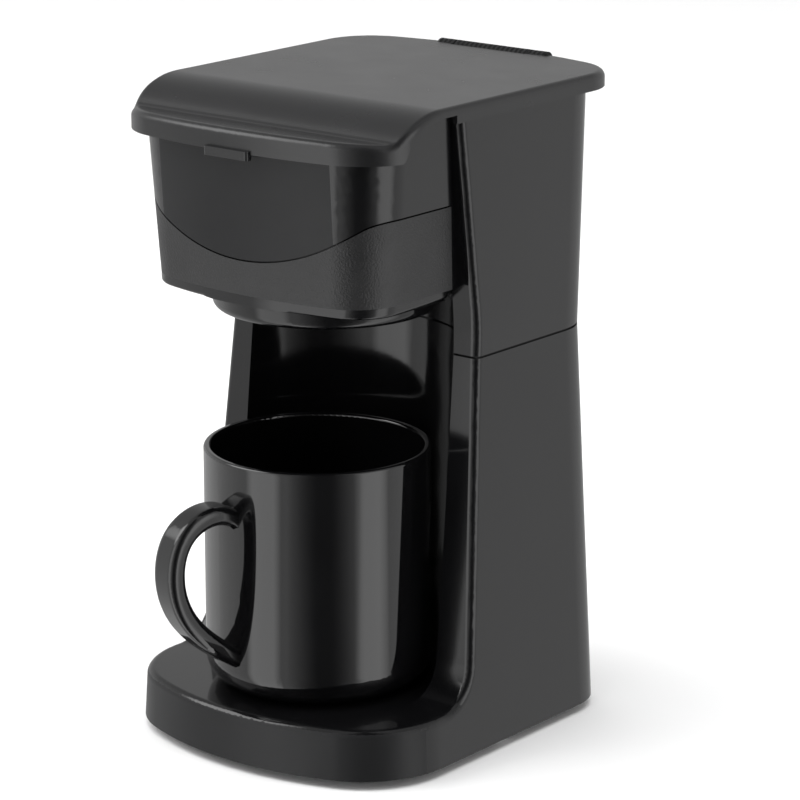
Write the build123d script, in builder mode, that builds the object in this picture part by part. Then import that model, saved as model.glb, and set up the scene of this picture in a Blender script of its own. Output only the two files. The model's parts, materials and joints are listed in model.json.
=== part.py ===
"""A single-serve drip coffee maker with its mug, every piece a solid of its own.

Millimetres, +Z up. The front, where the mug goes in, faces -Y. The origin is on the surface that it
stands on, under the middle of the whole outline.
"""
import os
from collections import namedtuple
from math import cos, radians, sin, sqrt

from build123d import *

os.makedirs("parts", exist_ok=True)

# ---------------------------------------------------------------- driving dimensions
foot_height = 3.5
base_thickness = 18.5
base_width = 131.2
seam_height = 148.0            # joint between the lower and the upper moulding
lid_height = 242.0             # top of the lid
wall = 2.5                     # general moulding thickness
gap = 0.3                      # clearance between mouldings
seam_gap = 0.8                 # shadow line at the seam
edge_round = 3.0
sharpest = 0.5                 # smallest corner radius of an outline taken in

# A plan outline: bowed front and rear edges, straight sides, round corners. Distances along Y
# are counted from the brewing axis.
Outline = namedtuple("Outline", "width front front_bow front_corner rear rear_bow rear_corner")
base_plan = Outline(base_width, -57.6, 20.2, 36.0, 94.5, 9.0, 22.0)
seam_plan = Outline(base_width - 15.4, -50.0, 18.0, 32.0, 92.5, 9.0, 22.0)
rim_plan = Outline(base_width - 9.6, -20.0, 4.0, 5.0, 92.1, 9.0, 22.0)
lid_plan = Outline(base_width - 5.2, -53.2, 8.6, 26.0, 101.3, 9.75, 22.4)
head_low_plan = Outline(base_width - 26.4, -46.5, 7.7, 19.8, 20.0, 2.0, 8.0)
head_top_plan = Outline(base_width - 17.4, -50.2, 8.0, 22.0, 20.0, 2.0, 8.0)
lip_plan = Outline(base_width - 29.6, -46.2, 8.6, 17.0, 20.0, 2.0, 8.0)

column_front = 1.8             # column face, carried down to the top of the base
column_front_seam = 13.3
column_front_rim = -0.6
column_bend = 12.0             # height above the seam where the face starts to lean
sweep_radius = 16.0            # where the column runs out into the base
recess_radius_low = 48.0       # concave wall behind the mug
recess_radius_high = 49.5

head_bottom = lid_height - 68.2    # groove line under the head
lip_height = 3.8
disc_radius = 41.5             # round drip cup under the head
disc_bottom = head_bottom - 11.8
wave_low = head_bottom + 13.0  # edge of the textured band: middle of the front, and sides
wave_high = head_bottom + 31.5
wave_reach = 57.0
wave_share = 0.845             # the bowl runs this far out before it turns into the shoulder
band_thickness = 1.2
head_back_low = 6.0            # back edge of the head's side walls, at the bottom and the rim
head_back_rim = -1.2
groove = 0.6
deck_height = lid_height - 26.0    # deck round the filter basket
deck_thickness = 2.5

lid_wall = 3.0
crest_y = -12.0                # where the lid starts to fall away to the front
crease_y = -35.6
ledge_height = lid_height - 9.2    # ledge behind the front rim, at the crease
ledge_slope = 0.08             # it rises this much per millimetre to the front
front_skirt_bottom = lid_height - 16.0
side_skirt_bottom = lid_height - 6.0
skirt_wall = 1.8
skirt_front_end = -30.2        # where the front skirt ends beside the head, with a round corner
skirt_end_round = 7.8
crease_round = 4.0
lid_round = 2.8
notch_y = -5.2                 # front end of the side skirt
tab_width = 20.0
tab_reach = 1.6
tab_drop = 2.0
tab_thickness = 3.2

hinge_y = 98.0
hinge_z = lid_height - 2.6
knuckle_radius = 3.6
barrel_length = 34.0
knuckle_length = 7.6
pin_radius = 1.5
pin_clearance = 0.05
hinge_gap = 0.4

chamber_wall = 2.2
shroud_wall = 1.6
drip_hole = 4.5
basket_radius = disc_radius - 3.5
basket_flange = disc_radius + 0.5
basket_depth = 36.0
basket_wall = 1.8
flange_thickness = 2.2
filter_wall = 1.6
filter_gap = 0.8
mesh_thickness = 0.5
handle_height = 4.6

mug_y = -6.0
mug_radius = 41.6
mug_height = 89.0
mug_wall = 2.8
mug_foot_radius = mug_radius - 8.6
mug_floor = 5.0
ear_turn = 11.0                # degrees that the ear is turned to the left of straight ahead
ear_reach = mug_radius + 26.0  # from the mug's axis to the middle of the ear's section
ear_width = 12.0
ear_thickness = 7.2

plate_thickness = 2.5
foot_radius = 7.0
foot_recess = 1.2
front_foot = (base_width / 2 - 25.6, -24.0)
rear_foot = (base_width / 2 - 12.6, 53.8)
screw_radius = 1.5
screw_head_radius = 3.0
screw_head_height = 1.8
boss_radius = 4.2
front_boss = (base_width / 2 - 19.6, -8.0)
rear_boss = (base_width / 2 - wall - 3.4, 26.0)
tail_boss = (36.0, base_plan.rear - wall - 6.2)

gland_z = 24.0
gland_x = 0.0
gland_radius = 6.0
gland_bore = 3.4
gland_flange = 8.5

tank_floor = 3.0
spigot_x = -22.0
service_y = 74.0               # plane of the boiler's U
spigot_bore = 3.4
spigot_wall = 1.2
spigot_length = 9.0
riser_y = 70.0
riser_bore = 3.0
riser_wall = 1.2
boiler_leg_top = 108.0
boiler_bend = 62.0             # height of the bend's centre
boiler_radius = 4.8
boiler_bore = 3.4
jacket_radius = 4.6
jacket_top = boiler_leg_top - 8.0
element_offset = 9.5           # the element runs this far in front of the water tube
element_radius = 3.2
valve_socket = 6.0
ball_radius = 2.3
ball_lift = 1.5
hose_wall = 1.6
grommet_wall = 1.6
tray_bottom = lid_height - 11.0
riser_top = tray_bottom - 2.0

switch_y = 46.0
switch_z = 62.0
switch_length = 21.0
switch_width = 15.0
switch_depth = 16.0

# ---------------------------------------------------------------- worked-out places
base_under = foot_height
base_top = base_under + base_thickness
lower_top = seam_height - seam_gap / 2
upper_bottom = seam_height + seam_gap / 2
rim_height = lid_height - lid_wall - gap
far = 400.0
ear_tip = (ear_reach + ear_thickness / 2) * cos(radians(ear_turn))
axis_y = -(hinge_y + knuckle_radius + mug_y - ear_tip) / 2    # brewing axis in the part's frame


def level(z):
    """A horizontal plane at height z, with its middle on the brewing axis."""
    return Plane((0, axis_y, z))


def across(x):
    """An upright plane that runs from front to back at x: its own axes are Y and Z."""
    return Plane((x, axis_y, 0), x_dir=(0, 1, 0), z_dir=(1, 0, 0))


def facing(y):
    """An upright plane seen from the front, y behind the brewing axis: its axes are X and Z."""
    return Plane((0, axis_y + y, 0), x_dir=(1, 0, 0), z_dir=(0, -1, 0))


def save(piece, name):
    """Label a finished piece and write its STEP file."""
    piece.part.label = name
    export_step(piece.part, f"parts/{name}.step")


def outline(plan, inset=0.0):
    """Draw a plan outline, taken in all round by inset."""
    half = plan.width / 2 - inset
    front = plan.front + inset
    rear = plan.rear - inset
    with BuildSketch() as drawing:
        with BuildLine():
            bow = ThreePointArc((-half, front + plan.front_bow), (0, front), (half, front + plan.front_bow))
            back = ThreePointArc((half, rear - plan.rear_bow), (0, rear), (-half, rear - plan.rear_bow))
            Line(bow @ 1, back @ 0)
            Line(back @ 1, bow @ 0)
        make_face()
        fillet(drawing.vertices().group_by(Axis.Y)[0], max(plan.front_corner - inset, sharpest))
        fillet(drawing.vertices().group_by(Axis.Y)[-1], max(plan.rear_corner - inset, sharpest))
    return drawing.sketch


def between(low, low_z, high, high_z, inset=0.0):
    """The solid with straight walls from one plan outline up to another."""
    with BuildPart() as block:
        with BuildSketch(level(low_z)):
            add(outline(low, inset))
        with BuildSketch(level(high_z)):
            add(outline(high, inset))
        loft(ruled=True)
    return block.part


def at_height(low, low_z, high, high_z, z):
    """The plan outline that the straight walls between two outlines have at height z."""
    share = (z - low_z) / (high_z - low_z)
    return Outline(*(a + (b - a) * share for a, b in zip(low, high)))


def recess_radius(z):
    """Radius of the concave wall at height z."""
    share = (z - base_top) / (head_bottom - base_top)
    return recess_radius_low + (recess_radius_high - recess_radius_low) * share


def recess(low_z, high_z, extra=0.0):
    """The solid inside the concave wall, a slightly tapered round on the brewing axis."""
    with BuildPart(level(low_z)) as core:
        Cone(
            recess_radius(low_z) + extra,
            recess_radius(high_z) + extra,
            high_z - low_z,
            align=(Align.CENTER, Align.CENTER, Align.MIN),
        )
    return core.part


def lower_profile(inset=0.0):
    """Side view of the base and the lower column, taken in by inset from the faces in front."""
    slope = (column_front_seam - column_front) / (seam_height - base_top)
    floor = base_top - inset
    face = column_front + inset
    with BuildSketch(across(0)) as view:
        with BuildLine():
            Polyline(
                (-far, -far),
                (-far, floor),
                (face, floor),
                (face + slope * far, floor + far),
                (far, floor + far),
                (far, -far),
                close=True,
            )
        make_face()
        inner_corner = view.sketch_local.vertices().sort_by_distance((face, floor))[0]
        fillet(inner_corner, sweep_radius + inset)
    return view.sketch


def upper_profile(inset=0.0):
    """Side view of the upper column: its face stands upright, then leans to the front."""
    bend = seam_height + column_bend
    slope = (column_front_rim - column_front_seam) / (rim_height - bend)
    face = column_front_seam + inset
    with BuildSketch(across(0)) as view:
        with BuildLine():
            Polyline(
                (face, bend - far),
                (face, bend),
                (face + slope * far, bend + far),
                (2 * far, bend + far),
                (2 * far, bend - far),
                close=True,
            )
        make_face()
        bend_corner = view.sketch_local.vertices().sort_by_distance((face, bend))[0]
        fillet(bend_corner, 5 * sweep_radius)
    return view.sketch


def screw(length):
    """A pan-head screw that points up, with the underside of its head at the local origin."""
    with BuildPart() as fastener:
        Cylinder(screw_radius, length, align=(Align.CENTER, Align.CENTER, Align.MIN))
        Cylinder(screw_head_radius, screw_head_height, align=(Align.CENTER, Align.CENTER, Align.MAX))
        fillet(fastener.edges().group_by(Axis.Z)[0], screw_head_height / 2)
    return fastener.part


def corners(*spots):
    """Each spot and its mirror image on the other side."""
    return [(side * x, y) for x, y in spots for side in (-1, 1)]


bosses = corners(front_boss, rear_boss, tail_boss)
plate_top = base_under + plate_thickness
screw_seat = base_under + 1.0

# ---------------------------------------------------------------- lower body
lug_thickness = 4.0
seam_half = seam_plan.width / 2
lugs = corners((seam_half - 7.4, 34.0), (seam_half - 19.9, 81.5))
lug_screws = corners((seam_half - 6.4, 34.0), (seam_half - 17.9, 78.0))
lug_bottom = lower_top - lug_thickness
boss_pilot = 10.0
bezel_lip = 1.5
seam_lip_height = 3.0
seam_lip_wall = 1.2


def rear_at(z):
    """Place of the back of the lower body's outside at height z, behind the brewing axis."""
    return at_height(base_plan, base_under, seam_plan, seam_height, z).rear


def side_at(z):
    """Half the lower body's outside width at height z."""
    return at_height(base_plan, base_under, seam_plan, seam_height, z).width / 2


def seam_line(inset):
    """The column's outline in the seam plane, without the recess, taken in by inset."""
    with BuildSketch() as section:
        add(outline(seam_plan, inset))
        with Locations((0, column_front_seam + inset + far / 2)):
            Rectangle(far, far, mode=Mode.INTERSECT)
        Circle(recess_radius(seam_height) + inset, mode=Mode.SUBTRACT)
    return section.sketch


with BuildPart() as lower_space:
    add(between(base_plan, base_under, seam_plan, seam_height, wall))
    extrude(lower_profile(wall), amount=far, both=True, mode=Mode.INTERSECT)
    add(recess(base_top - wall, seam_height + wall, wall), mode=Mode.SUBTRACT)
    with BuildSketch(level(plate_top)):
        with Locations(*bosses):
            Circle(boss_radius)
    extrude(amount=base_top - plate_top, mode=Mode.SUBTRACT)
    with BuildSketch(level(lug_bottom)):
        with Locations(*lugs):
            Rectangle(16, 12)
    extrude(amount=far, mode=Mode.SUBTRACT)
    with BuildSketch(facing(base_plan.rear)):
        with Locations((gland_x, gland_z)):
            Circle(gland_flange + 1.5)
    extrude(amount=6.5, mode=Mode.SUBTRACT)

with BuildPart() as lip_ring:
    with BuildSketch(level(lower_top - seam_lip_height)):
        add(seam_line(wall - seam_lip_wall))
        add(seam_line(wall), mode=Mode.SUBTRACT)
    extrude(amount=2 * seam_lip_height)

with BuildPart() as lower_body:
    add(between(base_plan, base_under, seam_plan, lower_top))
    extrude(lower_profile(), amount=far, both=True, mode=Mode.INTERSECT)
    base_deck = lower_body.faces().filter_by(Axis.Z).sort_by(Axis.Z)[1]
    sweep_face = lower_body.faces().filter_by(GeomType.CYLINDER).sort_by(Axis.Z)[0]
    upright_faces = lower_body.faces().filter_by(GeomType.PLANE)
    column_face = upright_faces.filter_by(lambda f: f.normal_at().Y < -0.9)[0]
    rims = ShapeList(base_deck.edges() + sweep_face.edges() + column_face.edges())
    fillet(rims.filter_by(Axis.X, reverse=True), edge_round)
    add(recess(base_top, seam_height), mode=Mode.SUBTRACT)
    add(lower_space.part, mode=Mode.SUBTRACT)
    # locating lip inside the seam
    add(lip_ring.part)
    # pilot holes in the bosses and clear holes in the lugs
    with BuildSketch(level(plate_top)):
        with Locations(*bosses):
            Circle(screw_radius)
    extrude(amount=boss_pilot, mode=Mode.SUBTRACT)
    with BuildSketch(level(lug_bottom)):
        with Locations(*lug_screws):
            Circle(screw_radius)
    extrude(amount=2 * lug_thickness, mode=Mode.SUBTRACT)
    # seats for the cord gland and the switch
    with BuildSketch(facing(rear_at(gland_z) + 1.0)):
        with Locations((gland_x, gland_z)):
            Circle(gland_radius)
    extrude(amount=12.0, mode=Mode.SUBTRACT)
    with BuildSketch(facing(rear_at(gland_z) + 1.0)):
        with Locations((gland_x, gland_z)):
            Circle(gland_flange)
    extrude(amount=2.2, mode=Mode.SUBTRACT)
    with BuildSketch(across(-side_at(switch_z) - 1.0)):
        with Locations((switch_y, switch_z)):
            Rectangle(switch_length, switch_width)
    extrude(amount=2.0, mode=Mode.SUBTRACT)
    with BuildSketch(across(-side_at(switch_z) - 1.0)):
        with Locations((switch_y, switch_z)):
            Rectangle(switch_length - 2 * bezel_lip, switch_width - 2 * bezel_lip)
    extrude(amount=12.0, mode=Mode.SUBTRACT)
save(lower_body, "lower_body")

# ---------------------------------------------------------------- upper body
tank_under = upper_bottom
tank_base = tank_under + tank_floor
divider_top = tray_bottom - 3.0
divider_notch = 19.0
relief_half = barrel_length / 2 + knuckle_length + 12.0

with BuildPart() as tank_space:
    add(between(seam_plan, tank_base, rim_plan, rim_height + 5, wall))
    extrude(upper_profile(wall), amount=far, both=True, mode=Mode.INTERSECT)
    add(recess(tank_under, head_bottom, wall), mode=Mode.SUBTRACT)
    with BuildSketch(level(head_bottom)):
        Circle(recess_radius(head_bottom) + wall)
    extrude(amount=far, mode=Mode.SUBTRACT)

with BuildPart() as upper_body:
    add(between(seam_plan, upper_bottom, rim_plan, rim_height))
    extrude(upper_profile(), amount=far, both=True, mode=Mode.INTERSECT)
    front_faces = upper_body.faces().filter_by(lambda f: f.normal_at().Y < -0.9)
    fillet(front_faces.edges().filter_by(lambda e: abs(e.tangent_at(0.5).Z) > 0.8), edge_round)
    add(recess(tank_under - 1, head_bottom), mode=Mode.SUBTRACT)
    with BuildSketch(level(head_bottom - 0.01)):
        Circle(recess_radius(head_bottom))
    extrude(amount=far, mode=Mode.SUBTRACT)
    add(tank_space.part, mode=Mode.SUBTRACT)
    # groove under the floor that takes the lower body's lip
    with BuildSketch(level(upper_bottom)):
        add(seam_line(wall - seam_lip_wall - gap))
        add(seam_line(wall + gap), mode=Mode.SUBTRACT)
    extrude(amount=seam_lip_height - seam_gap + gap, mode=Mode.SUBTRACT)
    # the divider is lower where the water channel in the lid crosses it
    with BuildSketch(level(divider_top)):
        with Locations((0, recess_radius(head_bottom))):
            Rectangle(2 * divider_notch, 30)
    extrude(amount=far, mode=Mode.SUBTRACT)
    # the back rim is lower behind the hinge, which leaves a steam vent
    with BuildSketch(level(rim_height - 1.6)):
        with Locations((0, rim_plan.rear)):
            Rectangle(2 * relief_half, 24)
    extrude(amount=far, mode=Mode.SUBTRACT)
    # hinge barrel on a bracket behind the wall
    with BuildSketch(across(0)):
        with BuildLine():
            Polyline(
                (rim_plan.rear - wall, hinge_z - 12),
                (rim_plan.rear - 0.5, hinge_z - 12),
                (hinge_y + knuckle_radius * 0.8, hinge_z - knuckle_radius * 0.6),
                (hinge_y, hinge_z),
                (rim_plan.rear - wall, hinge_z - 2.4),
                close=True,
            )
        make_face()
        with Locations((hinge_y, hinge_z)):
            Circle(knuckle_radius)
    extrude(amount=barrel_length / 2, both=True)
    with BuildSketch(across(0)):
        with Locations((hinge_y, hinge_z)):
            Circle(pin_radius + pin_clearance)
    extrude(amount=barrel_length, both=True, mode=Mode.SUBTRACT)
    # outlet spigot and the hole for the riser tube
    with BuildSketch(level(tank_under)):
        with Locations((spigot_x, service_y)):
            Circle(spigot_bore + spigot_wall)
    extrude(amount=-spigot_length)
    with BuildSketch(level(tank_under - spigot_length)):
        with Locations((spigot_x, service_y)):
            Circle(spigot_bore)
    extrude(amount=spigot_length + tank_floor, mode=Mode.SUBTRACT)
    with BuildSketch(level(tank_under)):
        with Locations((0, riser_y)):
            Circle(riser_bore + riser_wall + grommet_wall)
    extrude(amount=tank_floor, mode=Mode.SUBTRACT)
    # pilot bosses over the lower body's lugs
    with BuildSketch(level(tank_base)):
        with Locations(*lug_screws):
            Circle(boss_radius)
    extrude(amount=6.0)
    with BuildSketch(level(tank_under)):
        with Locations(*lug_screws):
            Circle(screw_radius)
    extrude(amount=tank_floor + 4.0, mode=Mode.SUBTRACT)
save(upper_body, "upper_body")

# ---------------------------------------------------------------- lid and what hangs from it
crest_drop = lid_height - ledge_height
crest_run = crest_y - crease_y
crest_radius = (crest_run**2 + crest_drop**2) / (2 * crest_drop)
crest_centre = lid_height - crest_radius
tray_screw_spots = [(-20.0, 10.0), (20.0, 10.0), (0.0, 38.0)]


def under_lid(drop):
    """Corner points of the lid's top line in side view, moved in by drop: rear, crest, crease, front."""
    radius = crest_radius - drop
    ledge = ledge_height - drop
    crease = crest_y - sqrt(radius**2 - (ledge - crest_centre) ** 2)
    front = (crease - far, ledge + ledge_slope * far)
    return (far, lid_height - drop), (crest_y, lid_height - drop), (crease, ledge), front


def below_lid(drop):
    """Everything below the lid's top line moved in by drop, in side view."""
    rear, crest, crease, front = under_lid(drop)
    with BuildSketch() as view:
        with BuildLine():
            top = Line(rear, crest)
            TangentArc(crest, crease, tangent=top % 1)
            Polyline(crease, front, (front[0], -far), (far, -far), rear)
        make_face()
        fillet(view.vertices().sort_by_distance(crease)[0], crease_round - drop / 2)
    return view.sketch


with BuildPart() as lid_space:
    with BuildSketch(level(front_skirt_bottom - 1)):
        add(outline(lid_plan, skirt_wall))
    extrude(amount=far)
    with BuildSketch(across(0)):
        add(below_lid(lid_wall))
    extrude(amount=far, both=True, mode=Mode.INTERSECT)

with BuildSketch() as skirt_view:
    with Locations((skirt_front_end - far / 2, front_skirt_bottom - tab_drop + far / 2)):
        Rectangle(far, far)
    lower_corner = skirt_view.vertices().sort_by_distance((skirt_front_end, front_skirt_bottom))[0]
    fillet(lower_corner, skirt_end_round)
front_skirt_side = skirt_view.sketch

with BuildPart() as lid_shell:
    with BuildSketch(level(front_skirt_bottom)):
        add(outline(lid_plan))
    extrude(amount=far)
    with BuildSketch(across(0)):
        add(below_lid(0.0))
    extrude(amount=far, both=True, mode=Mode.INTERSECT)
    around = lid_shell.edges().filter_by(Axis.X, reverse=True).filter_by(Axis.Z, reverse=True)
    fillet(around.filter_by(lambda e: e.center().Z > front_skirt_bottom + 1), lid_round)
    add(lid_space.part, mode=Mode.SUBTRACT)
    # no skirt beside the head, so that the plate alone follows the fall of the lid
    with BuildSketch(across(0)):
        add(below_lid(lid_wall))
        with Locations((notch_y - far / 2, 0)):
            Rectangle(far, 3 * far, mode=Mode.INTERSECT)
        add(front_skirt_side, mode=Mode.SUBTRACT)
    extrude(amount=far, both=True, mode=Mode.SUBTRACT)
    # a shallow skirt behind the notch, and none at the hinge
    with BuildSketch(level(0)):
        with Locations((0, notch_y + far / 2)):
            Rectangle(far, far)
    extrude(amount=side_skirt_bottom, mode=Mode.SUBTRACT)
    with BuildSketch(level(0)):
        with Locations((0, hinge_y)):
            Rectangle(2 * relief_half, 40)
    extrude(amount=lid_height - lid_wall, mode=Mode.SUBTRACT)
    # finger tab under the front rim
    with BuildSketch(level(front_skirt_bottom - tab_drop)):
        with Locations((0, lid_plan.front + (skirt_wall - tab_reach) / 2)):
            RectangleRounded(tab_width, skirt_wall + tab_reach, 1.2)
    extrude(amount=tab_thickness)
    # pilot holes for the shower tray's screws
    with BuildSketch(level(lid_height - lid_wall)):
        with Locations(*tray_screw_spots):
            Circle(screw_radius)
    extrude(amount=lid_wall - 0.8, mode=Mode.SUBTRACT)
    # slot for the barrel, and a knuckle each side of it
    with BuildSketch(level(0)):
        with Locations((0, hinge_y - knuckle_radius - 0.8 + far / 2)):
            Rectangle(barrel_length + 2 * hinge_gap, far)
        with Locations((0, hinge_y + far / 2)):
            Rectangle(barrel_length + 2 * hinge_gap + 2 * knuckle_length + 2 * hinge_gap, far)
    extrude(amount=far, mode=Mode.SUBTRACT)
    for side in (-1, 1):
        with BuildSketch(across(side * (barrel_length / 2 + hinge_gap))):
            with Locations((hinge_y, hinge_z)):
                Circle(knuckle_radius)
        extrude(amount=side * knuckle_length)
    with BuildSketch(across(0)):
        with Locations((hinge_y, hinge_z)):
            Circle(pin_radius + pin_clearance)
    extrude(amount=far, both=True, mode=Mode.SUBTRACT)
save(lid_shell, "lid_shell")

pin_length = barrel_length + 2 * hinge_gap + 2 * knuckle_length
with BuildPart() as hinge_pin:
    with BuildSketch(across(0)):
        with Locations((hinge_y, hinge_z)):
            Circle(pin_radius)
    extrude(amount=pin_length / 2, both=True)
    chamfer(hinge_pin.edges().filter_by(GeomType.CIRCLE), 0.3)
save(hinge_pin, "hinge_pin")

# ---------------------------------------------------------------- head
deck_under = deck_height - deck_thickness
housing_wall = wall + band_thickness
head_half = head_low_plan.width / 2
chamber_bosses = corners((head_half - 10.4, -22.0), (head_half - 6.6, 2.0))
chamber_boss_radius = 3.2
lip_bottom = head_bottom - lip_height
swept_radius = recess_radius_high - gap


def head_block(inset, back, top_drop=0.0):
    """The tapered head: its outline taken in by inset, its top under the lid, its back edge at back."""
    with BuildPart() as block:
        add(between(head_low_plan, head_bottom, head_top_plan, lid_height, inset))
        with BuildSketch(across(0)):
            add(below_lid(lid_wall + gap + top_drop))
        extrude(amount=far, both=True, mode=Mode.INTERSECT)
        with BuildSketch(across(0)):
            with BuildLine():
                Polyline(
                    (back[0], head_bottom),
                    (back[1], rim_height),
                    (-far, rim_height),
                    (-far, head_bottom),
                    close=True,
                )
            make_face()
        extrude(amount=far, both=True, mode=Mode.INTERSECT)
    return block.part


def beside_wave(drop, end):
    """A thick block from the wavy line, lowered by drop, up or down to height end."""
    with BuildPart() as block:
        with BuildSketch(facing(0)):
            with BuildLine():
                middle = (0, wave_low - drop)
                for side in (-1, 1):
                    shoulder = (side * wave_reach, wave_high - drop)
                    turn = (side * wave_share * wave_reach, middle[1] + wave_share * (wave_high - wave_low))
                    bowl = TangentArc(middle, turn, tangent=(side, 0))
                    TangentArc(turn, shoulder, tangent=bowl % 1)
                    Polyline(shoulder, (side * far, shoulder[1]), (side * far, end), (0, end))
            make_face()
        extrude(amount=far, both=True)
    return block.part


outer_back = (head_back_low, head_back_rim)
# the inner layer runs back until it meets the column's leaning face
inner_back = (column_front_seam + 4, column_front_rim + 4)

with BuildPart() as column_block:
    add(between(seam_plan, upper_bottom, rim_plan, rim_height))
    extrude(upper_profile(), amount=far, both=True, mode=Mode.INTERSECT)

with BuildPart() as front_housing:
    add(head_block(0.0, outer_back))
    add(beside_wave(0.0, far), mode=Mode.INTERSECT)
    add(head_block(band_thickness, inner_back))
    add(head_block(housing_wall, (far, far), -far), mode=Mode.SUBTRACT)
    add(column_block.part, mode=Mode.SUBTRACT)
    # deck round the filter basket, carried back to the column
    with BuildSketch(level(deck_under)):
        add(outline(at_height(head_low_plan, head_bottom, head_top_plan, lid_height, deck_under), wall))
        with Locations((0, far / 2)):
            Rectangle(2 * far, far, mode=Mode.SUBTRACT)
    extrude(amount=deck_thickness)
    with BuildSketch(level(deck_under)):
        Circle(swept_radius)
        with Locations((0, far / 2 - 2)):
            Rectangle(2 * far, far, mode=Mode.INTERSECT)
    extrude(amount=deck_thickness)
    with BuildSketch(level(deck_under)):
        Circle(basket_radius + 0.8)
    extrude(amount=deck_thickness, mode=Mode.SUBTRACT)
    # bosses that the brewing chamber is screwed up into
    with BuildSketch(level(head_bottom)):
        with Locations(*chamber_bosses):
            Circle(chamber_boss_radius)
    extrude(amount=deck_under - head_bottom)
    with BuildSketch(level(head_bottom)):
        with Locations(*chamber_bosses):
            Circle(screw_radius)
    extrude(amount=boss_pilot, mode=Mode.SUBTRACT)
save(front_housing, "front_housing")

with BuildPart() as head_band:
    add(head_block(0.0, outer_back))
    add(head_block(band_thickness, (far, far), -far), mode=Mode.SUBTRACT)
    add(beside_wave(groove, 0.0), mode=Mode.INTERSECT)
save(head_band, "head_band")

with BuildPart() as brew_chamber:
    # lip under the head, carried back into the recess
    with BuildSketch(level(lip_bottom)) as lip_sketch:
        add(outline(lip_plan))
        with Locations((0, head_back_low - 1 + far / 2)):
            Rectangle(2 * far, far, mode=Mode.SUBTRACT)
        Circle(swept_radius)
    extrude(amount=lip_height)
    fillet(brew_chamber.edges().group_by(Axis.Z)[0], 1.4)
    # drip cup with a flat floor
    with BuildSketch(level(disc_bottom)):
        Circle(disc_radius)
    extrude(amount=deck_under - disc_bottom)
    fillet(brew_chamber.edges().group_by(Axis.Z)[0], 3.0)
    with BuildSketch(level(disc_bottom + chamber_wall)):
        Circle(disc_radius - chamber_wall)
    extrude(amount=far, mode=Mode.SUBTRACT)
    with BuildSketch(level(disc_bottom - 2.0)):
        Circle(drip_hole + chamber_wall)
    extrude(amount=2.0)
    with BuildSketch(level(disc_bottom - 2.0)):
        Circle(drip_hole)
    extrude(amount=2.0 + chamber_wall, mode=Mode.SUBTRACT)
    # shroud in front of the recess wall, which hides the tank's divider
    with BuildSketch(level(head_bottom)):
        Circle(recess_radius_high - 1.3)
        Circle(recess_radius_high - 1.3 - shroud_wall, mode=Mode.SUBTRACT)
        with Locations((0, far / 2 + 8)):
            Rectangle(2 * far, far, mode=Mode.INTERSECT)
    extrude(amount=deck_under - head_bottom)
    # counterbored screw holes
    with BuildSketch(level(lip_bottom)):
        with Locations(*chamber_bosses):
            Circle(screw_head_radius + 0.2)
    extrude(amount=screw_head_height + 0.2, mode=Mode.SUBTRACT)
    with BuildSketch(level(lip_bottom)):
        with Locations(*chamber_bosses):
            Circle(screw_radius)
    extrude(amount=lip_height, mode=Mode.SUBTRACT)
save(brew_chamber, "brew_chamber")

with BuildPart() as chamber_screws:
    with Locations(level(lip_bottom + screw_head_height + 0.2)):
        with Locations(*chamber_bosses):
            add(screw(boss_pilot))
save(chamber_screws, "chamber_screws")

# ---------------------------------------------------------------- basket and filter
basket_foot = deck_height - basket_depth


def cup(rim_radius, floor_radius, foot_z, thickness, floor_thickness):
    """Half section of a tapered cup with an open top at the deck, in the plane of its axis."""
    slope = (rim_radius - floor_radius) / (deck_height - foot_z)
    with BuildSketch(across(0)) as section:
        with BuildLine():
            Polyline(
                (0, foot_z),
                (floor_radius, foot_z),
                (rim_radius, deck_height),
                (rim_radius - thickness, deck_height),
                (floor_radius - thickness + slope * floor_thickness, foot_z + floor_thickness),
                (0, foot_z + floor_thickness),
                close=True,
            )
        make_face()
    return section.sketch


def flange(inner, outer, z, thickness):
    """A flat ring on the brewing axis."""
    with BuildPart() as ring:
        with BuildSketch(level(z)):
            Circle(outer)
            Circle(inner, mode=Mode.SUBTRACT)
        extrude(amount=thickness)
    return ring.part


brewing_axis = Axis((0, axis_y, 0), (0, 0, 1))
basket_floor_radius = basket_radius - 12.0

with BuildPart() as filter_basket:
    revolve(cup(basket_radius, basket_floor_radius, basket_foot, basket_wall, basket_wall), brewing_axis)
    add(flange(basket_radius - basket_wall, basket_flange, deck_height, flange_thickness))
    # ribs on the floor keep the filter up, and the coffee leaves through a round of holes
    with BuildSketch(level(basket_foot + basket_wall)):
        with PolarLocations(14.0, 6):
            Rectangle(12, 1.6)
    extrude(amount=2.0)
    with BuildSketch(level(basket_foot)):
        Circle(3.0)
        with PolarLocations(9.0, 6, start_angle=30):
            Circle(1.8)
    extrude(amount=3 * basket_wall, mode=Mode.SUBTRACT)
    fillet(filter_basket.edges().group_by(Axis.Z)[0].sort_by(SortBy.LENGTH)[-1], 1.2)
save(filter_basket, "filter_basket")

frame_radius = basket_radius - basket_wall - filter_gap
frame_floor_radius = basket_floor_radius - basket_wall - filter_gap - 2.0
frame_foot = basket_foot + basket_wall + 2.0
frame_top = deck_height + flange_thickness

with BuildPart() as mesh_cone:
    revolve(cup(frame_radius, frame_floor_radius, frame_foot, mesh_thickness, mesh_thickness), brewing_axis)
    with BuildSketch(level(deck_height)):
        Circle(frame_radius)
    extrude(amount=-2.0, mode=Mode.SUBTRACT)
save(mesh_cone, "filter_mesh")

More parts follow.
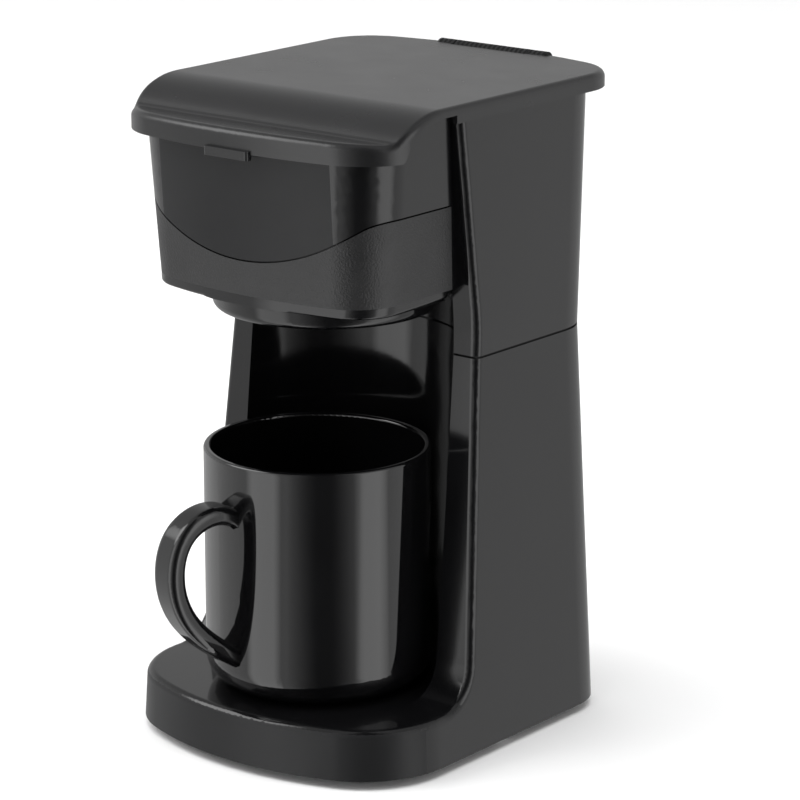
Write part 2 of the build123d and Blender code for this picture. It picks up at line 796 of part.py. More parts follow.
with BuildPart() as filter_frame:
    add(flange(frame_radius - filter_wall, basket_flange - 2.0, frame_top, 1.4))
    add(flange(frame_radius - filter_wall, frame_radius, deck_height - 2.0, flange_thickness + 2.0))
    # fixed bridge handle
    with BuildSketch(facing(0)):
        with BuildLine():
            bridge = Polyline(
                (-frame_radius + 1, frame_top + 0.7),
                (-frame_radius + 12, frame_top + handle_height),
                (frame_radius - 12, frame_top + handle_height),
                (frame_radius - 1, frame_top + 0.7),
            )
            offset(bridge, 0.8, side=Side.LEFT)
        make_face()
    extrude(amount=5.0, both=True)
save(filter_frame, "filter_frame")

# ---------------------------------------------------------------- mug
mug_axis = Axis((0, axis_y + mug_y, 0), (0, 0, 1))
mug_top = base_top + mug_height
ear_plane = Plane(
    (0, axis_y + mug_y, 0),
    x_dir=(-sin(radians(ear_turn)), -cos(radians(ear_turn)), 0),
    z_dir=(-cos(radians(ear_turn)), sin(radians(ear_turn)), 0),
)

with BuildPart() as mug:
    with BuildLine(ear_plane) as ear_line:
        Spline(
            (mug_radius - mug_wall / 2, 90),
            (52, 93.5),
            (63, 88),
            (ear_reach, 75.4),
            (64, 60),
            (54, 48),
            (mug_radius - mug_wall / 2, 38),
        )
    with BuildSketch(Plane(ear_line.line @ 0, z_dir=ear_line.line % 0, x_dir=ear_plane.z_dir)):
        RectangleRounded(ear_width, ear_thickness, 2.8)
    sweep()
    with BuildSketch(across(0)):
        with BuildLine():
            Polyline(
                (mug_y, base_top + 1.2),
                (mug_y + mug_foot_radius - 3, base_top + 1.2),
                (mug_y + mug_foot_radius - 2, base_top),
                (mug_y + mug_foot_radius, base_top),
            )
            foot_arc = ThreePointArc(
                (mug_y + mug_foot_radius, base_top),
                (mug_y + mug_radius - 2.2, base_top + 4),
                (mug_y + mug_radius, base_top + 12),
            )
            Polyline(
                (mug_y + mug_radius, base_top + 12),
                (mug_y + mug_radius, mug_top),
                (mug_y, mug_top),
                (mug_y, base_top + 1.2),
            )
        make_face()
    revolve(axis=mug_axis)
    with BuildSketch(across(0)):
        with BuildLine():
            Polyline(
                (mug_y, mug_top + 1),
                (mug_y + mug_radius - mug_wall, mug_top + 1),
                (mug_y + mug_radius - mug_wall, base_top + 14),
            )
            ThreePointArc(
                (mug_y + mug_radius - mug_wall, base_top + 14),
                (mug_y + mug_radius - mug_wall - 3, base_top + mug_floor + 2.5),
                (mug_y + mug_radius - mug_wall - 9, base_top + mug_floor),
            )
            Polyline(
                (mug_y + mug_radius - mug_wall - 9, base_top + mug_floor),
                (mug_y, base_top + mug_floor),
                (mug_y, mug_top + 1),
            )
        make_face()
    revolve(axis=mug_axis, mode=Mode.SUBTRACT)
    fillet(mug.edges().group_by(Axis.Z)[-1], 1.1)
save(mug, "mug")

# ---------------------------------------------------------------- shower tray in the lid
tray_wall = 1.2
shower_radius = 28.0
channel_half = 12.0
channel_rear = riser_y + 9.0
lid_under = lid_height - lid_wall
seal_lip = 1.3


def tray_plan(inset):
    """Round shower head with a channel that runs back over the riser, taken in by inset."""
    with BuildSketch() as plan:
        Circle(shower_radius - inset)
        with Locations((0, (channel_rear - inset) / 2)):
            Rectangle(2 * (channel_half - inset), channel_rear - inset)
    return plan.sketch


with BuildPart() as shower_tray:
    with BuildSketch(level(tray_bottom)):
        add(tray_plan(0.0))
    extrude(amount=lid_under - tray_bottom)
    with BuildSketch(level(tray_bottom + tray_wall)):
        add(tray_plan(tray_wall))
    extrude(amount=lid_under - tray_bottom, mode=Mode.SUBTRACT)
    with BuildSketch(level(tray_bottom)):
        with Locations(*tray_screw_spots):
            Circle(boss_radius)
    extrude(amount=lid_under - tray_bottom)
    with BuildSketch(across(0)):
        add(below_lid(lid_wall))
    extrude(amount=far, both=True, mode=Mode.INTERSECT)
    with BuildSketch(level(tray_bottom)):
        with Locations(*tray_screw_spots):
            Circle(screw_radius)
        with PolarLocations(16.0, 12, start_angle=15):
            Circle(1.2)
        with PolarLocations(8.0, 6):
            Circle(1.2)
        with Locations((0, riser_y)):
            Circle(riser_bore + riser_wall + grommet_wall)
    extrude(amount=far, mode=Mode.SUBTRACT)
    with BuildSketch(level(tray_bottom)):
        with Locations(*tray_screw_spots):
            Circle(screw_head_radius + 0.2)
    extrude(amount=screw_head_height + 0.2, mode=Mode.SUBTRACT)
save(shower_tray, "shower_tray")

with BuildPart() as tray_screws:
    tray_seat = tray_bottom + screw_head_height + 0.2
    with Locations(level(tray_seat)):
        with Locations(*tray_screw_spots):
            add(screw(lid_under + 1.8 - tray_seat))
save(tray_screws, "tray_screws")


def grommet(z, thickness, lip):
    """A rubber ring on the riser's axis with a lip on each side of a plate that starts at z."""
    inner = riser_bore + riser_wall
    with BuildPart() as ring:
        with BuildSketch(level(z - lip)):
            with Locations((0, riser_y)):
                Circle(inner + grommet_wall + 2)
        extrude(amount=thickness + 2 * lip)
        with BuildSketch(level(z)):
            with Locations((0, riser_y)):
                Circle(inner + grommet_wall + 3)
                Circle(inner + grommet_wall, mode=Mode.SUBTRACT)
        extrude(amount=thickness, mode=Mode.SUBTRACT)
        with BuildSketch(level(z - lip)):
            with Locations((0, riser_y)):
                Circle(inner)
        extrude(amount=thickness + 2 * lip, mode=Mode.SUBTRACT)
    return ring.part


with BuildPart() as spout_seal:
    add(grommet(tray_bottom, tray_wall, seal_lip))
save(spout_seal, "spout_seal")

with BuildPart() as riser_grommet:
    add(grommet(tank_under, tank_floor, seal_lip))
save(riser_grommet, "riser_grommet")

# ---------------------------------------------------------------- base
bracket_spots = [(-9.0, service_y + 2.0), (9.0, service_y + 2.0)]
bracket_seat = plate_top + 6.0

with BuildPart() as base_plate:
    with BuildSketch(level(base_under)):
        add(outline(base_plan, wall + gap))
    extrude(amount=plate_thickness)
    with BuildSketch(level(plate_top)):
        with Locations(*bracket_spots):
            Circle(boss_radius)
    extrude(amount=bracket_seat - plate_top)
    with BuildSketch(level(bracket_seat)):
        with Locations(*bracket_spots):
            Circle(screw_radius)
    extrude(amount=-6.5, mode=Mode.SUBTRACT)
    with BuildSketch(level(base_under)):
        with Locations(*bosses):
            Circle(screw_radius + 0.2)
        # vents
        for row in range(5):
            with Locations((0, 6 + 9 * row)):
                SlotOverall(40, 3)
    extrude(amount=plate_thickness, mode=Mode.SUBTRACT)
    with BuildSketch(level(base_under)):
        with Locations(*bosses):
            Circle(screw_head_radius + 0.2)
    extrude(amount=screw_seat - base_under, mode=Mode.SUBTRACT)
    with BuildSketch(level(base_under)):
        with Locations(*corners(front_foot, rear_foot)):
            Circle(foot_radius)
    extrude(amount=foot_recess, mode=Mode.SUBTRACT)
save(base_plate, "base_plate")

with BuildPart() as base_screws:
    with Locations(level(screw_seat)):
        with Locations(*bosses):
            add(screw(plate_top + boss_pilot - screw_seat - 1))
save(base_screws, "base_screws")

with BuildPart() as body_screws:
    with Locations(level(lug_bottom)):
        with Locations(*lug_screws):
            add(screw(tank_base + 3 - lug_bottom))
save(body_screws, "body_screws")

for name, spots in (("front_feet", corners(front_foot)), ("rear_feet", corners(rear_foot))):
    with BuildPart() as feet:
        with BuildSketch(level(0)):
            with Locations(*spots):
                Circle(foot_radius)
        extrude(amount=base_under + foot_recess)
        chamfer(feet.edges().group_by(Axis.Z)[0], 1.0)
    save(feet, name)

gland_seat = rear_at(gland_z) - 1.2
with BuildPart() as cord_gland:
    with BuildSketch(facing(gland_seat + 2.2)):
        with Locations((gland_x, gland_z)):
            Circle(gland_flange - 0.3)
    extrude(amount=2.2)
    with BuildSketch(facing(gland_seat + 5.5)):
        with Locations((gland_x, gland_z)):
            Circle(gland_radius - 0.4)
    extrude(amount=5.5)
    with BuildSketch(facing(gland_seat)):
        with Locations((gland_x, gland_z)):
            Circle(gland_radius)
    extrude(amount=gland_seat - (base_plan.rear - 6.5))
    with BuildSketch(facing(base_plan.rear - 6.5)):
        with Locations((gland_x, gland_z)):
            Circle(gland_radius + 1.2)
    extrude(amount=2.0)
    with BuildSketch(facing(gland_seat + 10)):
        with Locations((gland_x, gland_z)):
            Circle(gland_bore)
    extrude(amount=40, mode=Mode.SUBTRACT)
save(cord_gland, "cord_gland")

# ---------------------------------------------------------------- switch
switch_seat = -side_at(switch_z) + 1.0         # X of the ledge that the bezel sits on
pivot_x = switch_seat + 2.0
fit = 0.2
rocker_half = 4.4
rocker_reach = 7.0
rock = 10.0                    # degrees each way from the middle

with BuildPart() as switch_housing:
    with BuildSketch(across(switch_seat - 1.6)):
        with Locations((switch_y, switch_z)):
            Rectangle(switch_length - 2 * fit, switch_width - 2 * fit)
    extrude(amount=1.6)
    with BuildSketch(across(switch_seat)):
        with Locations((switch_y, switch_z)):
            Rectangle(switch_length - 2 * (bezel_lip + fit), switch_width - 2 * (bezel_lip + fit))
    extrude(amount=switch_depth)
    with BuildSketch(across(switch_seat - 2)):
        with Locations((switch_y, switch_z)):
            Rectangle(2 * (rocker_reach + 0.8), 2 * (rocker_half + 0.3))
    extrude(amount=2 + 2 + 4.4, mode=Mode.SUBTRACT)
    with BuildSketch(level(switch_z)):
        with Locations((pivot_x, switch_y)):
            Circle(1.25)
    extrude(amount=rocker_half + 0.9, both=True, mode=Mode.SUBTRACT)
    with BuildSketch(across(switch_seat + switch_depth)):
        with Locations((switch_y - 4, switch_z), (switch_y + 4, switch_z)):
            Rectangle(0.8, 4.8)
    extrude(amount=-3.0, mode=Mode.SUBTRACT)
save(switch_housing, "switch_housing")

with BuildPart() as switch_rocker:
    tilt = Plane(
        level(switch_z).from_local_coords((pivot_x, switch_y, 0)),
        x_dir=(-cos(radians(rock)), sin(radians(rock)), 0),
        z_dir=(0, 0, 1),
    )
    with BuildSketch(tilt):
        with BuildLine():
            Polyline(
                (1.0, -rocker_reach), (3.8, -rocker_reach), (3.0, 0), (3.8, rocker_reach), (1.0, rocker_reach),
                (-2.0, 3.0), (-2.0, -3.0), (1.0, -rocker_reach),
            )
        make_face()
    extrude(amount=rocker_half, both=True)
    with BuildSketch(tilt):
        Circle(1.2)
    extrude(amount=rocker_half + 0.8, both=True)
save(switch_rocker, "switch_rocker")

switch_back = switch_seat + switch_depth
with BuildPart() as switch_terminals:
    with BuildSketch(across(switch_back - 3)):
        with Locations((switch_y - 4, switch_z), (switch_y + 4, switch_z)):
            Rectangle(0.8, 4.8)
    extrude(amount=8.0)
save(switch_terminals, "switch_terminals")

# ---------------------------------------------------------------- boiler
element_y = service_y - element_offset
jacket_front = element_y - jacket_radius
boiler_half = -spigot_x


def u_path(y, top):
    """Centre line of the U at depth y: down the left leg, round the bend and up the right one."""
    with BuildLine(facing(y)) as path:
        Line((-boiler_half, top), (-boiler_half, boiler_bend))
        ThreePointArc(
            (-boiler_half, boiler_bend), (0, boiler_bend - boiler_half), (boiler_half, boiler_bend)
        )
        Line((boiler_half, boiler_bend), (boiler_half, top))
    return path.line


def u_rod(y, top, radius):
    """A round rod bent into the U."""
    with BuildPart() as rod:
        with BuildSketch(level(top)):
            with Locations((-boiler_half, y)):
                Circle(radius)
        sweep(path=u_path(y, top))
    return rod.part


pad_half = 11.0
pad_front = jacket_front - 2.0
clip_back = jacket_front - 0.2
bend_z = boiler_bend - boiler_half
bracket_y = service_y + boiler_radius

with BuildPart() as boiler_casting:
    add(u_rod(service_y, boiler_leg_top, boiler_radius))
    add(u_rod(element_y, jacket_top, jacket_radius))
    with BuildSketch(level(jacket_top)):
        with Locations((-boiler_half, (service_y + element_y) / 2)):
            Rectangle(5.0, element_offset)
    sweep(path=u_path((service_y + element_y) / 2, jacket_top))
    # pad for the thermostat and lug for the bracket
    with BuildSketch(facing(pad_front)):
        with Locations((0, bend_z)):
            Rectangle(2 * pad_half, 14)
    extrude(amount=-(element_y - pad_front))
    with BuildSketch(facing(bracket_y)):
        with Locations((0, bend_z)):
            Rectangle(16, 9)
    extrude(amount=bracket_y - service_y)
    add(u_rod(service_y, boiler_leg_top, boiler_bore), mode=Mode.SUBTRACT)
    add(u_rod(element_y, jacket_top, element_radius), mode=Mode.SUBTRACT)
save(boiler_casting, "boiler_casting")

with BuildPart() as heating_element:
    add(u_rod(element_y, jacket_top, element_radius))
    with BuildSketch(level(jacket_top)):
        with Locations((-boiler_half, element_y), (boiler_half, element_y)):
            Circle(1.2)
    extrude(amount=8.0)
save(heating_element, "heating_element")

with BuildPart() as boiler_bracket:
    with BuildSketch(level(bracket_seat)):
        with Locations((0, bracket_y + 1.5 - 8)):
            Rectangle(30, 16)
    extrude(amount=1.5)
    with BuildSketch(facing(bracket_y + 1.5)):
        with Locations((0, (bracket_seat + bend_z + 6) / 2)):
            Rectangle(16, bend_z + 6 - bracket_seat)
    extrude(amount=1.5)
    with BuildSketch(level(bracket_seat)):
        with Locations(*bracket_spots):
            Circle(screw_radius + 0.2)
    extrude(amount=1.5, mode=Mode.SUBTRACT)
    with BuildSketch(facing(bracket_y + 1.5)):
        with Locations((-5, bend_z), (5, bend_z)):
            Circle(screw_radius + 0.2)
    extrude(amount=1.5, mode=Mode.SUBTRACT)
save(boiler_bracket, "boiler_bracket")

with BuildPart() as bracket_screws:
    with Locations(level(bracket_seat + 1.5)):
        with Locations(*[Location((x, y, 0), (180, 0, 0)) for x, y in bracket_spots]):
            add(screw(7.0))
save(bracket_screws, "bracket_screws")

# ---------------------------------------------------------------- thermostat and fuse
thermostat_depth = 4.5
thermostat_front = pad_front - thermostat_depth
with BuildPart() as thermostat:
    with BuildSketch(facing(pad_front)):
        with Locations((0, bend_z)):
            Circle(8.0)
    extrude(amount=thermostat_depth)
    with BuildSketch(facing(pad_front - 2.5)):
        with Locations((0, bend_z + 5.0)):
            Rectangle(26, 3.0)
    extrude(amount=0.8)
save(thermostat, "thermostat")

clip_wall = 0.6
with BuildPart() as thermostat_clip:
    with BuildSketch(level(bend_z - 5.0)):
        with Locations((0, (thermostat_front - clip_wall + clip_back) / 2)):
            Rectangle(2 * (pad_half + clip_wall), clip_back - thermostat_front + clip_wall)
        with Locations((0, (thermostat_front + clip_back) / 2)):
            Rectangle(2 * pad_half, clip_back - thermostat_front, mode=Mode.SUBTRACT)
    extrude(amount=7.0)
save(thermostat_clip, "thermostat_clip")

fuse_y = jacket_front - 2.6
fuse_low = 75.0
fuse_length = 15.0
with BuildPart() as fuse_sleeve:
    with BuildSketch(level(fuse_low)):
        with Locations((-boiler_half, fuse_y)):
            Circle(2.6)
            Circle(2.0, mode=Mode.SUBTRACT)
    extrude(amount=fuse_length)
save(fuse_sleeve, "fuse_sleeve")

with BuildPart() as thermal_fuse:
    with BuildSketch(level(fuse_low)):
        with Locations((-boiler_half, fuse_y)):
            Circle(2.0)
    extrude(amount=fuse_length)
    chamfer(thermal_fuse.edges(), 0.4)
save(thermal_fuse, "thermal_fuse")

# ---------------------------------------------------------------- water path
valve_low = boiler_leg_top - valve_socket
chamber_low = boiler_leg_top + 1.0
chamber_top = chamber_low + ball_radius + ball_lift + 1.7
barb_radius = spigot_bore + spigot_wall
barb_low = boiler_leg_top + 13.5
barb_top = boiler_leg_top + 22.0
spigot_end = tank_under - spigot_length


def ring_at(x, y, low, high, outer, inner):
    """An upright tube."""
    with BuildPart() as tube:
        with BuildSketch(level(low)):
            with Locations((x, y)):
                Circle(outer)
                Circle(inner, mode=Mode.SUBTRACT)
        extrude(amount=high - low)
    return tube.part


with BuildPart() as check_valve_body:
    with BuildSketch(level(valve_low)):
        with Locations((spigot_x, service_y)):
            Circle(boiler_radius + 2.0)
    extrude(amount=barb_low - valve_low)
    with BuildSketch(level(barb_low)):
        with Locations((spigot_x, service_y)):
            Circle(barb_radius)
    extrude(amount=barb_top - barb_low)
    with BuildSketch(level(valve_low)):
        with Locations((spigot_x, service_y)):
            Circle(boiler_radius)
    extrude(amount=valve_socket, mode=Mode.SUBTRACT)
    # the ball rests on a plate with four holes and closes the narrow bore above it
    with BuildSketch(level(boiler_leg_top)):
        with Locations((spigot_x, service_y)):
            with PolarLocations(2.2, 4):
                Circle(0.8)
    extrude(amount=2.0, mode=Mode.SUBTRACT)
    with BuildSketch(level(chamber_low)):
        with Locations((spigot_x, service_y)):
            Circle(ball_radius + 0.8)
    extrude(amount=chamber_top - chamber_low, mode=Mode.SUBTRACT)
    with BuildSketch(level(chamber_low)):
        with Locations((spigot_x, service_y)):
            Circle(1.6)
    extrude(amount=far, mode=Mode.SUBTRACT)
save(check_valve_body, "check_valve_body")

with BuildPart() as valve_ball:
    with Locations(level(chamber_low + ball_radius)):
        with Locations((spigot_x, service_y)):
            Sphere(ball_radius)
save(valve_ball, "valve_ball")

with BuildPart() as inlet_hose:
    add(ring_at(spigot_x, service_y, barb_low, spigot_end + 7, barb_radius + hose_wall, barb_radius))
save(inlet_hose, "inlet_hose")

clamp_height = 5.0
clamp_wall = 0.8
riser_foot = tank_under - 12.5
hose_top = tank_under - 3.0

with BuildPart() as riser_tube:
    with BuildSketch(level(riser_foot)):
        with Locations((0, riser_y)):
            Circle(boiler_radius)
    extrude(amount=hose_top - riser_foot)
    with BuildSketch(level(riser_foot)):
        with Locations((0, riser_y)):
            Circle(riser_bore + riser_wall)
    extrude(amount=riser_top - riser_foot)
    with BuildSketch(level(riser_foot)):
        with Locations((0, riser_y)):
            Circle(riser_bore)
    extrude(amount=riser_top - riser_foot, mode=Mode.SUBTRACT)
save(riser_tube, "riser_tube")

with BuildPart() as outlet_hose:
    low_end = level(0).from_local_coords((boiler_half, service_y, boiler_leg_top - 5))
    low_bend = level(0).from_local_coords((boiler_half, service_y, boiler_leg_top + 0.5))
    high_bend = level(0).from_local_coords((0, riser_y, riser_foot - 0.5))
    high_end = level(0).from_local_coords((0, riser_y, hose_top))
    with BuildLine():
        Line(low_end, low_bend)
        Spline(low_bend, high_bend, tangents=((0, 0, 1), (0, 0, 1)))
        Line(high_bend, high_end)
    with BuildSketch(level(boiler_leg_top - 5)):
        with Locations((boiler_half, service_y)):
            Circle(boiler_radius + hose_wall)
            Circle(boiler_radius, mode=Mode.SUBTRACT)
    sweep()
save(outlet_hose, "outlet_hose")


def hose_clamp(x, y, low, radius):
    """A spring-steel band round a hose, with a pair of ears that are squeezed to open it."""
    with BuildPart() as clamp:
        with BuildSketch(level(low)):
            with Locations((x, y)):
                Circle(radius + clamp_wall)
            with Locations((x - 1.4, y + radius + 1.6), (x + 1.4, y + radius + 1.6)):
                Rectangle(clamp_wall, 4.2)
            with Locations((x, y)):
                Circle(radius, mode=Mode.SUBTRACT)
        extrude(amount=clamp_height)
    return clamp.part


with BuildPart() as hose_clamps:
    add(hose_clamp(spigot_x, service_y, barb_low + 1.5, barb_radius + hose_wall))
    add(hose_clamp(spigot_x, service_y, spigot_end + 1.0, barb_radius + hose_wall))
    add(hose_clamp(boiler_half, service_y, boiler_leg_top - 5, boiler_radius + hose_wall))
    add(hose_clamp(0, riser_y, riser_foot + 2.0, boiler_radius + hose_wall))
save(hose_clamps, "hose_clamps")

# ---------------------------------------------------------------- wiring
block_spot = (-24.0, 52.0)
block_length, block_width, block_height = 20.0, 12.0, 11.0
block_top = plate_top + block_height
wire_radius = 1.1
wire_bend = 4.0
tab_end = switch_back + 5.0

with BuildPart() as terminal_block:
    with BuildSketch(level(plate_top)):
        with Locations(block_spot):
            Rectangle(block_length, block_width)
    extrude(amount=block_height)
    with BuildSketch(level(block_top)):
        with Locations((-28, 49), (-20, 49), (-28, 55), (-20, 55)):
            Circle(wire_radius)
    extrude(amount=-4.0, mode=Mode.SUBTRACT)
save(terminal_block, "terminal_block")


def wire(*points):
    """A wire whose straight runs are joined by round bends."""
    places = [level(0).from_local_coords(point) for point in points]
    with BuildPart() as run:
        with BuildLine() as route:
            FilletPolyline(*places, radius=wire_bend)
        with BuildSketch(Plane(route.line @ 0, z_dir=route.line % 0)):
            Circle(wire_radius)
        sweep()
    return run.part


with BuildPart() as live_wire:
    add(wire(
        (tab_end, switch_y + 4, switch_z),
        (tab_end + 5, switch_y + 4, switch_z),
        (-34, 50, 40),
        (-28, 49, 30),
        (-28, 49, block_top - 3),
    ))
save(live_wire, "live_wire")

thermostat_tab = (13.0, pad_front - 2.9, bend_z + 5.0)
with BuildPart() as switched_wire:
    add(wire(
        (tab_end, switch_y - 4, switch_z),
        (tab_end + 6, switch_y - 4, switch_z),
        (-29, 52, 54),
        (-24, thermostat_tab[1], thermostat_tab[2]),
        (-thermostat_tab[0], thermostat_tab[1], thermostat_tab[2]),
    ))
save(switched_wire, "switched_wire")

with BuildPart() as heater_wire:
    add(wire(
        thermostat_tab,
        (20, thermostat_tab[1], thermostat_tab[2]),
        (31, 56, 58),
        (31, 57, 100),
        (boiler_half, 57, jacket_top + 14),
        (boiler_half, element_y, jacket_top + 14),
        (boiler_half, element_y, jacket_top + 8),
    ))
save(heater_wire, "heater_wire")

with BuildPart() as neutral_wire:
    add(wire(
        (-20, 55, block_top - 3),
        (-20, 55, 28),
        (-31, 56, 36),
        (-31, fuse_y, 66),
        (-boiler_half, fuse_y, 68),
        (-boiler_half, fuse_y, fuse_low),
    ))
save(neutral_wire, "neutral_wire")

with BuildPart() as fuse_wire:
    add(wire(
        (-boiler_half, fuse_y, fuse_low + fuse_length),
        (-boiler_half, fuse_y, jacket_top + 14),
        (-boiler_half, element_y, jacket_top + 14),
        (-boiler_half, element_y, jacket_top + 8),
    ))
save(fuse_wire, "fuse_wire")
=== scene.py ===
# %% [markdown]
# # A single-serve drip coffee maker with its mug
#
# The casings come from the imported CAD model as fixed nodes. This script gives them their finish:
# polished, satin and textured black plastic, a glazed mug, steel, brass, rubber and silicone. It
# also sets a pale studio floor, soft lights and the camera.

# %% Load the frame
import json
import math

import bmesh
import bpy
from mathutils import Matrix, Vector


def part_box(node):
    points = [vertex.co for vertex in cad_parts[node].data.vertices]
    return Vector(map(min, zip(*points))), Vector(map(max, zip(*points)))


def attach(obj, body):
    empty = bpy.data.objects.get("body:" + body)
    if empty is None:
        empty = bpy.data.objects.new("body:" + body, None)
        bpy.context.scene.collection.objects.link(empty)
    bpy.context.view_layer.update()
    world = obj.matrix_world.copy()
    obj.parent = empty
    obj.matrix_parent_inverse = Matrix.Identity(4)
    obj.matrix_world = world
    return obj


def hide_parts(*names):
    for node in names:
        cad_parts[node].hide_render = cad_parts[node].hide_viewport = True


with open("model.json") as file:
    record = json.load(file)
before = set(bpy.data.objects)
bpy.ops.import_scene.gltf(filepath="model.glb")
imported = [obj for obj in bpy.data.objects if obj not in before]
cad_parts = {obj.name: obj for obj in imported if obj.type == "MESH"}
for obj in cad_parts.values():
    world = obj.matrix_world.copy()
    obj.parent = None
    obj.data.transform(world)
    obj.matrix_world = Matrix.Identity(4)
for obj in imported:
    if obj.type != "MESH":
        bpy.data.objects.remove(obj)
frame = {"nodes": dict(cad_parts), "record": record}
nodes = frame["nodes"]
record = frame["record"]
slot_of = {piece["node"]: piece["material_slot"] for piece in record["subparts"]}
body_of = {node: body for body, members in record["behaviour"]["bodies"].items() for node in members}
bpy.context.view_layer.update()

# %% [markdown]
# ## The camera
#
# The machine is seen from a little above and to the right of its front. A long lens keeps its upright
# edges almost parallel, as on a catalogue picture, so the camera stands over a metre away.

# %% Camera
VIEW_AZIMUTH = math.radians(38.83)
VIEW_ELEVATION = math.radians(15.5)

camera = bpy.data.objects.new("camera", bpy.data.cameras.new("camera"))
camera.location = (0.79413, -0.95781, 0.46785)
camera.rotation_euler = (math.pi / 2 - VIEW_ELEVATION, 0, VIEW_AZIMUTH)
camera.data.sensor_width = 36.0
camera.data.lens = 158.43
camera.data.clip_start = 0.05
camera.data.clip_end = 30.0
bpy.context.scene.collection.objects.link(camera)
bpy.context.scene.camera = camera
print("lens", camera.data.lens, "mm")

# %% [markdown]
# ## The floor
#
# The machine stands on a sheet of white paper. The paper is one large grid, and it is left out of
# reflections, because in a real studio the black sides see the soft boxes in it and not its edge.

# %% Shared helpers


def new_material(name):
    """A material with a Principled shader and nothing else: its tree and its shader."""
    material = bpy.data.materials.new(name)
    material.use_nodes = True
    tree = material.node_tree
    tree.nodes.clear()
    output = tree.nodes.new("ShaderNodeOutputMaterial")
    shader = tree.nodes.new("ShaderNodeBsdfPrincipled")
    tree.links.new(shader.outputs["BSDF"], output.inputs["Surface"])
    return material, tree, shader


def link_mesh(name, bm):
    """Turn a bmesh into a linked object at the origin."""
    mesh = bpy.data.meshes.new(name)
    bm.to_mesh(mesh)
    bm.free()
    piece = bpy.data.objects.new(name, mesh)
    bpy.context.scene.collection.objects.link(piece)
    return piece


# %% Floor
floor_material, floor_tree, floor_shader = new_material("white_paper")
floor_shader.inputs["Base Color"].default_value = (0.93, 0.93, 0.93, 1)
floor_shader.inputs["Roughness"].default_value = 0.8

bm = bmesh.new()
bmesh.ops.create_grid(bm, x_segments=1, y_segments=1, size=6.0)
floor = link_mesh("floor", bm)
floor.data.materials.append(floor_material)
floor.visible_glossy = False
print("floor laid")

# %% [markdown]
# ## The studio
#
# Black gloss plastic has almost no colour of its own: what is seen on it is the room. So the room is
# drawn with care in the world's nodes. A room of real lamps could do it too, but each lamp would then
# light the paper as well as show in the gloss. The first nodes find which way a ray goes.

# %% World and ray direction
world = bpy.data.worlds.new("studio")
world.use_nodes = True
room = world.node_tree
room.nodes.clear()
bpy.context.scene.world = world


def arithmetic(operation, first, second):
    """One arithmetic node in the room, whose inputs are sockets or numbers."""
    node = room.nodes.new("ShaderNodeMath")
    node.operation = operation
    for socket, value in zip(node.inputs, (first, second)):
        if isinstance(value, (int, float)):
            socket.default_value = value
        else:
            room.links.new(value, socket)
    return node.outputs["Value"]


direction = room.nodes.new("ShaderNodeTexCoord").outputs["Generated"]
flatten = room.nodes.new("ShaderNodeVectorMath")
flatten.operation = "MULTIPLY"
flatten.inputs[1].default_value = (1, 1, 0)
room.links.new(direction, flatten.inputs[0])
heading = room.nodes.new("ShaderNodeVectorMath")
heading.operation = "NORMALIZE"
room.links.new(flatten.outputs["Vector"], heading.inputs[0])
split = room.nodes.new("ShaderNodeSeparateXYZ")
room.links.new(direction, split.inputs["Vector"])
print("ray direction ready")

# %% [markdown]
# ## Patches of light
#
# A soft box is a stretch of directions. The dot product of two directions is the cosine of the angle
# between them, so a Map Range from one cosine to another makes a patch with a soft edge. A patch made
# from the flattened heading is a tall strip, and one made from the true direction is round.

# %% Strips, patches and fades


def patch(vector, towards, inner, outer, level=1.0):
    """Level within inner degrees of a direction, falling to 0 at outer."""
    dot = room.nodes.new("ShaderNodeVectorMath")
    dot.operation = "DOT_PRODUCT"
    dot.inputs[1].default_value = towards
    room.links.new(vector, dot.inputs[0])
    edge = room.nodes.new("ShaderNodeMapRange")
    edge.inputs["From Min"].default_value = math.cos(math.radians(outer))
    edge.inputs["From Max"].default_value = math.cos(math.radians(inner))
    edge.inputs["To Max"].default_value = level
    room.links.new(dot.outputs["Value"], edge.inputs["Value"])
    return edge.outputs["Result"]


def towards(azimuth, height=0.0):
    """A direction from two angles in degrees. Azimuth 0 is the front, 90 the right."""
    turn, rise = math.radians(azimuth), math.radians(height)
    return (math.cos(rise) * math.sin(turn), -math.cos(rise) * math.cos(turn), math.sin(rise))


def strip(azimuth, inner, outer):
    """A tall strip of full level at an azimuth."""
    return patch(heading.outputs["Vector"], towards(azimuth), inner, outer)


def fade_up(low, high, to_low, to_high):
    """A value that changes with how steeply a ray rises, between two of its Z values."""
    fade = room.nodes.new("ShaderNodeMapRange")
    fade.inputs["From Min"].default_value = low
    fade.inputs["From Max"].default_value = high
    fade.inputs["To Min"].default_value = to_low
    fade.inputs["To Max"].default_value = to_high
    room.links.new(split.outputs["Z"], fade.inputs["Value"])
    return fade.outputs["Result"]


# %% [markdown]
# ## The room's lights
#
# Two tall soft boxes stand to the left of the front and to the right. A round key light hangs high at
# the left and draws the bright line along the lid's rim. The walls are even and a little darker at the
# rear and overhead. Between the boxes is a dark gap, where a viewer would stand.

# %% Lights and walls
BOX_LEVEL = 1.15
KEY_LEVEL = 3.4
WALL_LEVEL = 0.86
REAR_LOSS = 0.34
GAP_LOSS = 0.93

